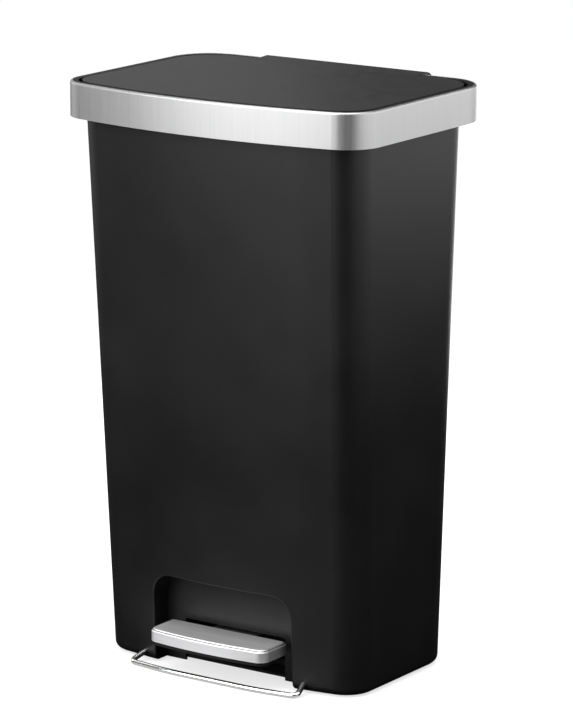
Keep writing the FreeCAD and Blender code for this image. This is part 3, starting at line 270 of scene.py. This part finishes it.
# The upward share of the normal below which dust slides off.
SLOPE_LIMIT = 0.55
dust, given, result = start_group("settled_dust", {"Amount": 0.3}, ("Dust",))
tree = dust
normal = add_node(tree, "ShaderNodeNewGeometry").outputs["Normal"]
upward = add_node(tree, "ShaderNodeSeparateXYZ", None, Vector=normal).outputs["Z"]
lying = remap(tree, upward, SLOPE_LIMIT, 1.0, 0.0, 1.0)
grit = speckle(tree, stretched(tree, EVEN), GRIT_SCALE, detail=6.0, roughness=0.75)
thin = arithmetic(tree, "MULTIPLY", lying, remap(tree, grit, 0.4, 0.75, 0.0, 1.0))
tree.links.new(arithmetic(tree, "MULTIPLY", thin, given["Amount"]), result["Dust"])
print("group:", dust.name)

# %% [markdown]
# ## Materials in plain words
#
# Every material here is one Principled shader that masks feed. The helpers below say what a
# mask may do: blend two colours, roughen the surface, or raise it through a Bump node. Bump
# only bends the light, so it suits grain that is finer than a hair. Shapes are never left
# to it.

# %% Helpers for materials
def principled(name):
    """A new material: its node tree and its Principled shader."""
    material = bpy.data.materials.new(name)
    material.use_nodes = True
    return material, material.node_tree, material.node_tree.nodes["Principled BSDF"]


def toned(colour, factor, lift=0.0):
    """A colour made lighter or darker, channel by channel, and never above 1."""
    return tuple(min(1.0, channel * factor + lift) for channel in colour)


def blend_colour(tree, factor, first, second):
    """first where factor is 0, second where it is 1."""
    # A Mix node set to colours takes them in sockets 6 and 7 and gives its result in socket 2.
    node = add_node(tree, "ShaderNodeMix", {"data_type": "RGBA"})
    feed(tree, node.inputs[0], factor)
    for socket, colour in ((node.inputs[6], first), (node.inputs[7], second)):
        feed(tree, socket, (*colour, 1.0) if isinstance(colour, tuple) else colour)
    return node.outputs[2]


def roughen(tree, roughness, *shares):
    """Adds to a roughness each mask times its share: shares are (mask, share) pairs."""
    for mask, share in shares:
        roughness = arithmetic(tree, "MULTIPLY_ADD", mask, share, roughness, clamp=True)
    return roughness


def raise_surface(tree, shader, height, strength, depth):
    """Sends a height through a Bump node into the shader's normal."""
    bump = add_node(tree, "ShaderNodeBump", None, Height=height, Strength=strength,
                    Distance=depth)
    tree.links.new(bump.outputs["Normal"], shader.inputs["Normal"])


print("material helpers ready")

# %% [markdown]
# ## Black plastics
#
# The body, the lid and the frame are the same kind of plastic in three grains: the body is
# satin, the lid duller, and the hidden frame parts plain. One function makes all of them. It
# tints a near-black colour with the clouds, greys the worn edges and the dusty tops, and lets
# the skin drive roughness and bump.

# %% Plastic finishes
DUST_COLOUR = (0.20, 0.19, 0.175)
CLOUD_REACH = 0.2


def cloud_mask(tree, surface):
    """The skin's clouds, which lie evenly about 0, as a mask from 0 to 1."""
    return remap(tree, surface["Cloud"], -CLOUD_REACH, CLOUD_REACH, 0.0, 1.0)


def plastic(name, colour, roughness, pebbles, depth, dusty, gloss, cloud=1.0):
    """Moulded plastic with a skin, clouds, worn edges and dust."""
    material, tree, shader = principled(name)
    surface = use_group(tree, skin, Pebbles_per_metre=pebbles, Cloud=cloud)
    edges = use_group(tree, wear, Patchiness=0.6)
    settled = use_group(tree, dust, Amount=dusty)
    clouded = blend_colour(tree, cloud_mask(tree, surface), toned(colour, 0.85),
                           toned(colour, 1.5, lift=0.002))
    rubbed = blend_colour(tree, arithmetic(tree, "MULTIPLY", edges["Edge"], 0.5),
                          clouded, toned(colour, 2.2, lift=0.006))
    dusted = blend_colour(tree, settled["Dust"], rubbed, DUST_COLOUR)
    tree.links.new(dusted, shader.inputs["Base Color"])
    rough = roughen(tree, roughness, (surface["Cloud"], 0.16), (surface["Mottle"], 0.05),
                    (edges["Edge"], -0.08), (settled["Dust"], 0.3))
    tree.links.new(rough, shader.inputs["Roughness"])
    shader.inputs["Specular IOR Level"].default_value = gloss
    raise_surface(tree, shader, surface["Height"], 0.35, depth)
    return material


finishes = {
    "body_plastic": plastic("body_plastic", (0.0035, 0.0035, 0.0038), roughness=0.40,
                            pebbles=2600.0, depth=0.06 * MM, dusty=0.04, gloss=0.36),
    "lid_plastic": plastic("lid_plastic", (0.009, 0.009, 0.0094), roughness=0.46,
                           pebbles=3000.0, depth=0.05 * MM, dusty=0.05, gloss=0.36,
                           cloud=0.55),
    "frame_plastic": plastic("frame_plastic", (0.007, 0.007, 0.0073), roughness=0.55,
                             pebbles=2000.0, depth=0.05 * MM, dusty=0.05, gloss=0.14),
}
print("plastics:", sorted(finishes))

# %% [markdown]
# ## Brushed steel
#
# The band round the mouth has an upright grain, and the pedal is brushed from side to side.
# The lines drive bump and roughness, so that highlights break up across the grain, and the
# smudge dulls the steel a little where it gets touched.

# %% Brushed steel finishes
def brushed_steel(name, colour, roughness, across, depth):
    """Steel with a belt grain: across is how fast the grain changes along X, Y and Z."""
    material, tree, shader = principled(name)
    lines = use_group(tree, grain, Along_X=across[0], Along_Y=across[1], Along_Z=across[2])
    edges = use_group(tree, wear, Patchiness=0.3)
    tint = blend_colour(tree, lines["Streaks"], toned(colour, 0.84), colour)
    tint = blend_colour(tree, arithmetic(tree, "MULTIPLY", edges["Edge"], 0.35), tint,
                        toned(colour, 1.12))
    tree.links.new(tint, shader.inputs["Base Color"])
    rough = roughen(tree, roughness - 0.05, (lines["Lines"], 0.10),
                    (lines["Streaks"], 0.10), (lines["Smudge"], 0.06))
    tree.links.new(rough, shader.inputs["Roughness"])
    shader.inputs["Metallic"].default_value = 1.0
    raise_surface(tree, shader, lines["Lines"], 0.25, depth)
    return material


# How fast the grain changes along the belt, as a share of how fast it changes across it.
ALONG = 0.02
finishes["band_steel"] = brushed_steel(
    "band_steel", (0.47, 0.47, 0.475), roughness=0.36, across=(1.0, 1.0, ALONG),
    depth=0.02 * MM)
finishes["pedal_steel"] = brushed_steel(
    "pedal_steel", (0.80, 0.80, 0.81), roughness=0.50, across=(ALONG, 1.0, 1.0),
    depth=0.02 * MM)
print("steels:", sorted(finishes))

# %% [markdown]
# ## Bright and plated steel
#
# The wire on the floor is polished and chromed, so it mirrors the room. The lever, the rod
# and the axle are zinc plated: the passivation leaves a faint yellow and blue bloom, and the
# crystals make the shine uneven. The screws have the same plating over a duller steel.

# %% Chrome and zinc finishes
WARM, COOL = (1.03, 1.0, 0.90), (0.92, 0.97, 1.03)
# How many crystals fit across one patch of the bloom.
CRYSTALS = 12.0


def plated(name, colour, roughness, bloom, scale, depth):
    """Plated steel: bloom is how strongly its tint wanders."""
    material, tree, shader = principled(name)
    place = stretched(tree, EVEN)
    patches = speckle(tree, place, scale, detail=4.0, roughness=0.65)
    warm = tuple(channel * share for channel, share in zip(colour, WARM))
    cool = tuple(channel * share for channel, share in zip(colour, COOL))
    wander = remap(tree, patches, 0.5 - bloom, 0.5 + bloom, 0.0, 1.0)
    edges = use_group(tree, wear, Patchiness=0.5)
    tint = blend_colour(tree, wander, warm, cool)
    tint = blend_colour(tree, arithmetic(tree, "MULTIPLY", edges["Edge"], 0.4), tint,
                        toned(colour, 1.15))
    tree.links.new(tint, shader.inputs["Base Color"])
    tree.links.new(roughen(tree, roughness - 0.1, (patches, 0.2)),
                   shader.inputs["Roughness"])
    shader.inputs["Metallic"].default_value = 1.0
    crystals = speckle(tree, place, scale * CRYSTALS, detail=3.0)
    raise_surface(tree, shader, crystals, 0.2, depth)
    return material


finishes["chrome_wire"] = plated("chrome_wire", (0.93, 0.93, 0.94), roughness=0.20,
                                 bloom=0.45, scale=60.0, depth=0.01 * MM)
finishes["plated_steel"] = plated("plated_steel", (0.60, 0.60, 0.58), roughness=0.36,
                                  bloom=0.15, scale=90.0, depth=0.03 * MM)
finishes["screw_steel"] = plated("screw_steel", (0.50, 0.50, 0.48), roughness=0.34,
                                 bloom=0.12, scale=300.0, depth=0.02 * MM)
print("finishes so far:", sorted(finishes))

# %% [markdown]
# ## Acetal and rubber
#
# The bushes are natural acetal, a milky white plastic that lets a little light in. The feet,
# the bumpers and the lever stop are black rubber, dull and always a bit dusty.

# %% Acetal and rubber finishes
material, tree, shader = principled("bearing_plastic")
surface = use_group(tree, skin, Pebbles_per_metre=1500.0, Cloud=1.0)
tree.links.new(blend_colour(tree, cloud_mask(tree, surface), (0.55, 0.54, 0.49),
                            (0.66, 0.65, 0.61)), shader.inputs["Base Color"])
tree.links.new(roughen(tree, 0.33, (surface["Mottle"], 0.1)), shader.inputs["Roughness"])
shader.inputs["Subsurface Weight"].default_value = 0.15
shader.inputs["Subsurface Scale"].default_value = 2.0 * MM
raise_surface(tree, shader, surface["Height"], 0.2, 0.02 * MM)
finishes["bearing_plastic"] = material
finishes["rubber"] = plastic("rubber", (0.013, 0.013, 0.013), roughness=0.72,
                             pebbles=1400.0, depth=0.08 * MM, dusty=0.25, gloss=0.35)
print("finishes:", len(finishes), "of", len(slots))

# %% [markdown]
# ## Dressing the frame
#
# Every part takes the finish of its slot. The parts arrive as small flat faces, which would
# show on their curves. Smooth shading hides them, and its limit angle keeps real edges crisp.

# %% Finishes on the parts
SMOOTH_LIMIT = math.radians(32)


def dress(piece, finish):
    """Puts one finish on a piece and smooths its shading."""
    piece.data.materials.clear()
    piece.data.materials.append(finish)
    for face in piece.data.polygons:
        face.use_smooth = True
        face.material_index = 0
    piece.data.set_sharp_from_angle(angle=SMOOTH_LIMIT)


for name, part in sorted(frame["nodes"].items()):
    dress(part, finishes[slot_of[name]])
print("dressed:", len(frame["nodes"]))

# %% [markdown]
# ## Screws with a cross recess
#
# The frame's screws are plain: a disc on a rod. On the real ones a forming die rounds the top
# of the head and presses a cross into it for the driver. Each new screw takes its place and
# its size from the plain one that it stands for, so those are read first. A mesh of several
# screws falls apart into closed skins, and the points of one skin give its seat, its head and
# its shank.

# %% Measuring the plain screws
# Points further out than the first share of the head's radius are on its rim, and points
# closer in than the second are on the shank.
ON_RIM, ON_SHANK = 0.95, 0.9


def middle_of(points):
    """The middle of some points' box in whole millimetres, which puts parts in order."""
    return [round((min(along) + max(along)) / 2 / MM) for along in zip(*points)]


def loose_parts(mesh):
    """The separate closed skins of a mesh, each as a list of corner places."""
    work = bmesh.new()
    work.from_mesh(mesh)
    bmesh.ops.remove_doubles(work, verts=work.verts, dist=0.001 * MM)
    waiting, parts = set(work.verts), []
    while waiting:
        reached = [waiting.pop()]
        for vert in reached:
            near = {edge.other_vert(vert) for edge in vert.link_edges} & waiting
            waiting -= near
            reached.extend(near)
        parts.append([vert.co.copy() for vert in reached])
    work.free()
    return sorted(parts, key=middle_of)


def measure_screw(points, head_down):
    """The middle of the head's seat, and the head's and the shank's radius and length."""
    low = Vector([min(point[axis] for point in points) for axis in range(3)])
    high = Vector([max(point[axis] for point in points) for axis in range(3)])
    middle = (low + high) / 2
    head = (high.x - low.x) / 2
    off = [math.hypot(point.x - middle.x, point.y - middle.y) for point in points]
    rim = [point.z for point, far in zip(points, off) if far > ON_RIM * head]
    shank = max(far for far in off if far < ON_SHANK * head)
    seat = max(rim) if head_down else min(rim)
    length = (high.z - seat) if head_down else (seat - low.z)
    return Vector((middle.x, middle.y, seat)), head, max(rim) - min(rim), shank, length


for node in ("liner_screws", "base_screws"):
    print(node, "has", len(loose_parts(frame["nodes"][node].data)))

# %% [markdown]
# ## The head and its cross
#
# A turned outline gives the head and the shank in one closed skin. The cross could be cut
# with a boolean, but that leaves long thin faces that shade badly. Here it is pressed in, as
# the die does it, by lowering the points of the top that lie inside its two arms.

# %% One screw
AROUND = 48
DOME_STEPS, DOME_DROP = 20, 0.28
# The rest of the outline, in shares of the head's radius and height, and the shank's tip, in
# shares of its length and radius.
HEAD_EDGE = ((0.97, 0.55), (1.0, 0.38), (1.0, 0.0))
TIP_START, TIP_WIDTH = 0.9, 0.7
# The cross, in shares of the head's radius, and its depth in shares of the head's height.
RECESS_WIDTH, RECESS_REACH, RECESS_DEPTH = 0.17, 0.62, 0.55
WALL_SLOPE, ARM_SLOPE = 0.05, 0.18


def recess(x, y):
    """How deep the cross is at a place on the head, from 0 to 1; the head's radius is 1."""
    inner, outer = sorted((abs(x), abs(y)))
    across = min(1.0, max(0.0, (RECESS_WIDTH - inner) / WALL_SLOPE))
    along = min(1.0, max(0.0, (RECESS_REACH - outer) / ARM_SLOPE))
    return across * along


def add_screw(work, seat, head, height, shank, length, turn, side):
    """Adds one screw to work. side is 1 with the head up and -1 with it down."""
    dome = [(step / DOME_STEPS, 1.0 - DOME_DROP * (step / DOME_STEPS) ** 2)
            for step in range(1, DOME_STEPS - 1)]
    outline = [(head * far, height * level) for far, level in (*dome, *HEAD_EDGE)]
    outline += [(shank, 0.0), (shank, -length * TIP_START), (shank * TIP_WIDTH, -length)]
    rings = []
    for far, level in outline:
        ring = []
        for step in range(AROUND):
            angle = 2 * math.pi * step / AROUND
            x, y = far * math.cos(angle), far * math.sin(angle)
            depth = recess(x / head, y / head) * RECESS_DEPTH * height if level > 0 else 0.0
            spot = Vector((x, y * side, (level - depth) * side))
            spot.rotate(Euler((0.0, 0.0, turn)))
            ring.append(work.verts.new(seat + spot))
        rings.append(ring)
    for ring, following in zip(rings, rings[1:]):
        for step in range(AROUND):
            after = (step + 1) % AROUND
            work.faces.new((ring[step], following[step], following[after], ring[after]))
    work.faces.new(rings[0])
    work.faces.new(tuple(reversed(rings[-1])))


print("points round a screw:", AROUND)

# %% [markdown]
# ## Sets of screws
#
# Identical screws share one piece, as they share one node of the frame. A set rides on the
# body that it fastens and replaces its plain set. Driven screws stop at any angle, so the
# cross is turned on from each screw to the next. The screws of the hinge and of the rod's
# channel lie nearly level, and stay plain.

# %% Placing the sets
FIRST_TURN, NEXT_TURN = 0.5, 1.1


def screw_set(node, body, side):
    """Replaces a node of plain screws with detailed ones."""
    work = bmesh.new()
    for index, points in enumerate(loose_parts(frame["nodes"][node].data)):
        add_screw(work, *measure_screw(points, side < 0),
                  turn=FIRST_TURN + NEXT_TURN * index, side=side)
    mesh = bpy.data.meshes.new(node + "_crossed")
    bmesh.ops.recalc_face_normals(work, faces=work.faces)
    work.to_mesh(mesh)
    work.free()
    piece = bpy.data.objects.new(node + "_crossed", mesh)
    bpy.context.scene.collection.objects.link(piece)
    dress(piece, finishes["screw_steel"])
    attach(piece, body)
    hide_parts(node)
    return len(mesh.vertices)


for node, body, side in (("liner_screws", "lid", -1), ("crank_screws", "lid", -1),
                         ("pedal_screws", "pedal", -1), ("base_screws", "can", -1),
                         ("block_screws", "can", 1), ("clip_screws", "can", 1)):
    print(node, "points:", screw_set(node, body, side))

# %% [markdown]
# ## The stage
#
# The can stands on a plain pale floor with no visible edge. In a studio the black cloths that
# keep reflections dark are out of sight. Here the floor and the room do that themselves: they
# look pale to the camera and dark to the rays that light the can. An Ambient Occlusion node
# paints a soft contact shadow into the floor's glow close to the can, so that the can stands
# on it and doesn't float.

# %% Floor
def pale_to_camera(tree, seen, unseen):
    """A strength that is seen for camera rays and unseen for every other ray."""
    path = add_node(tree, "ShaderNodeLightPath")
    return remap(tree, path.outputs["Is Camera Ray"], 0.0, 1.0, unseen, seen)


FLOOR_SIDE = 30.0
FLOOR_GLOW = 0.97
CONTACT_REACH, CONTACT_FULL, CONTACT_SHADE = 0.09, 0.35, 0.72
mesh = bpy.data.meshes.new("floor")
half = FLOOR_SIDE / 2
mesh.from_pydata([(-half, -half, 0), (half, -half, 0), (half, half, 0), (-half, half, 0)],
                 [], [(0, 1, 2, 3)])
floor = bpy.data.objects.new("floor", mesh)
bpy.context.scene.collection.objects.link(floor)
material, tree, shader = principled("floor_paper")
tree.links.new(blend_colour(tree, pale_to_camera(tree, 1.0, 0.0), (0.02, 0.02, 0.02),
                            (0.3, 0.3, 0.3)), shader.inputs["Base Color"])
shader.inputs["Roughness"].default_value = 0.9
shader.inputs["Specular IOR Level"].default_value = 0.0
shader.inputs["Emission Color"].default_value = (1.0, 1.0, 1.0, 1.0)
# A painted contact shadow: the Ambient Occlusion node dims the floor's glow close to the can.
nearby = add_node(tree, "ShaderNodeAmbientOcclusion", {"samples": 8},
                  Distance=CONTACT_REACH)
painted_contact_shadow = remap(tree, nearby.outputs["AO"], CONTACT_FULL, 1.0, CONTACT_SHADE, 1.0)
tree.links.new(arithmetic(tree, "MULTIPLY", painted_contact_shadow,
                          pale_to_camera(tree, FLOOR_GLOW, 0.0)),
               shader.inputs["Emission Strength"])
mesh.materials.append(material)
print("floor side in m:", FLOOR_SIDE)

# %% [markdown]
# ## The room
#
# A world of one colour stands in for the studio's walls. It is white behind the can, but
# gives it only a little light, so that the soft boxes are left to draw its shape.

# %% Room
ROOM_GLOW, ROOM_LIGHT = 1.0, 0.04
world = bpy.data.worlds.new("studio")
bpy.context.scene.world = world
world.use_nodes = True
room = world.node_tree
backdrop = room.nodes["Background"]
backdrop.inputs["Color"].default_value = (1.0, 1.0, 1.0, 1.0)
room.links.new(pale_to_camera(room, ROOM_GLOW, ROOM_LIGHT), backdrop.inputs["Strength"])
print("room light:", ROOM_LIGHT)

# %% [markdown]
# ## Soft boxes
#
# Black plastic and brushed steel show little but what they reflect, so the lights are large
# sheets placed where the walls mirror them: one for the front, one for the right side, gentle
# ones for the left, the back and the lid, and a wide one overhead. The dark gap between the
# first two draws the rounded corner.

# %% Lights
def light_sheet(name, wide, tall, power):
    """A rectangular light that lights the can but is not seen itself."""
    light = bpy.data.lights.new(name, "AREA")
    light.shape = "RECTANGLE"
    light.size, light.size_y = wide, tall
    light.energy = power
    sheet = bpy.data.objects.new(name, light)
    sheet.visible_camera = False
    bpy.context.scene.collection.objects.link(sheet)
    return sheet


def soft_box(name, azimuth, distance, height, wide, tall, power, aim_height=0.35):
    """Stands a sheet at an azimuth round the can (0 is in front, 90 on its right)."""
    box = light_sheet(name, wide, tall, power)
    angle = math.radians(azimuth)
    box.location = (distance * math.sin(angle), -distance * math.cos(angle), height)
    aim = Vector((0.0, 0.0, aim_height)) - box.location
    box.rotation_euler = aim.to_track_quat("-Z", "Y").to_euler()


soft_box("front_box", azimuth=-17.5, distance=1.9, height=1.15, wide=1.7, tall=1.8,
         power=54.0)
soft_box("left_box", azimuth=-86.0, distance=1.9, height=1.0, wide=1.2, tall=1.8,
         power=9.0)
soft_box("side_box", azimuth=111.0, distance=0.95, height=0.93, wide=2.35, tall=1.2,
         power=15.2, aim_height=0.93)
soft_box("back_box", azimuth=206.0, distance=1.3, height=0.32, wide=1.7, tall=0.6,
         power=7.0)
soft_box("lid_box", azimuth=236.0, distance=1.0, height=0.95, wide=0.9, tall=0.6,
         power=0.80, aim_height=0.64)
soft_box("top_box", azimuth=10.0, distance=0.35, height=2.6, wide=2.4, tall=2.4,
         power=72.0)

# %% [markdown]
# ## Cards on the floor
#
# Chrome and steel this close to the ground mirror whatever lies in front of them. A brighter
# floor would spoil the dark walls, so two small glowing cards lie on it instead, facing up:
# one under the wire and one in front of it, off to the left.

# %% Floor cards
CARD_HEIGHT = 0.6 * MM
wire_front = cad_low.y
for name, x, y, wide, deep, power in (
        ("wire_card", 0.0, wire_front + 0.01325, 0.26, 0.045, 0.019),
        ("pedal_card", -0.09, wire_front - 0.07425, 0.24, 0.13, 0.075)):
    card = light_sheet(name, wide, deep, power)
    card.location = (x, y, CARD_HEIGHT)
    card.rotation_euler = (math.pi, 0.0, 0.0)

# %% [markdown]
# ## The camera
#
# A long lens, a little above the can and well round to its right. The lens is so long that
# the upright edges stay almost parallel. The small shift slides the view without turning the
# camera, so the perspective is untouched.

# %% Camera
CAMERA_AZIMUTH = math.radians(34.92)
CAMERA_RISE = math.radians(13.33)
CAMERA_DISTANCE = 4.4267
lens = bpy.data.cameras.new("camera")
lens.lens = 205.4
lens.sensor_width = 36.0
lens.shift_x = 0.0229
lens.shift_y = 0.0313
lens.clip_end = 60.0
camera = bpy.data.objects.new("camera", lens)
band_low, band_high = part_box("rim_band")
target = Vector((0.0, (band_low.y + band_high.y) / 2, band_high.z / 2))
away = Vector((math.sin(CAMERA_AZIMUTH) * math.cos(CAMERA_RISE),
               -math.cos(CAMERA_AZIMUTH) * math.cos(CAMERA_RISE),
               math.sin(CAMERA_RISE)))
camera.location = target + away * CAMERA_DISTANCE
camera.rotation_euler = away.to_track_quat("Z", "Y").to_euler()
bpy.context.scene.collection.objects.link(camera)
bpy.context.scene.camera = camera
bpy.context.scene.view_settings.view_transform = "Standard"
print("camera at", [round(value, 3) for value in camera.location])

# %% [markdown]
# ## The finished size
#
# Looks never change the size of the object, so only the box of the frame is printed.

# %% Size and finish
print("frame box:", list(cad_low), list(cad_high))
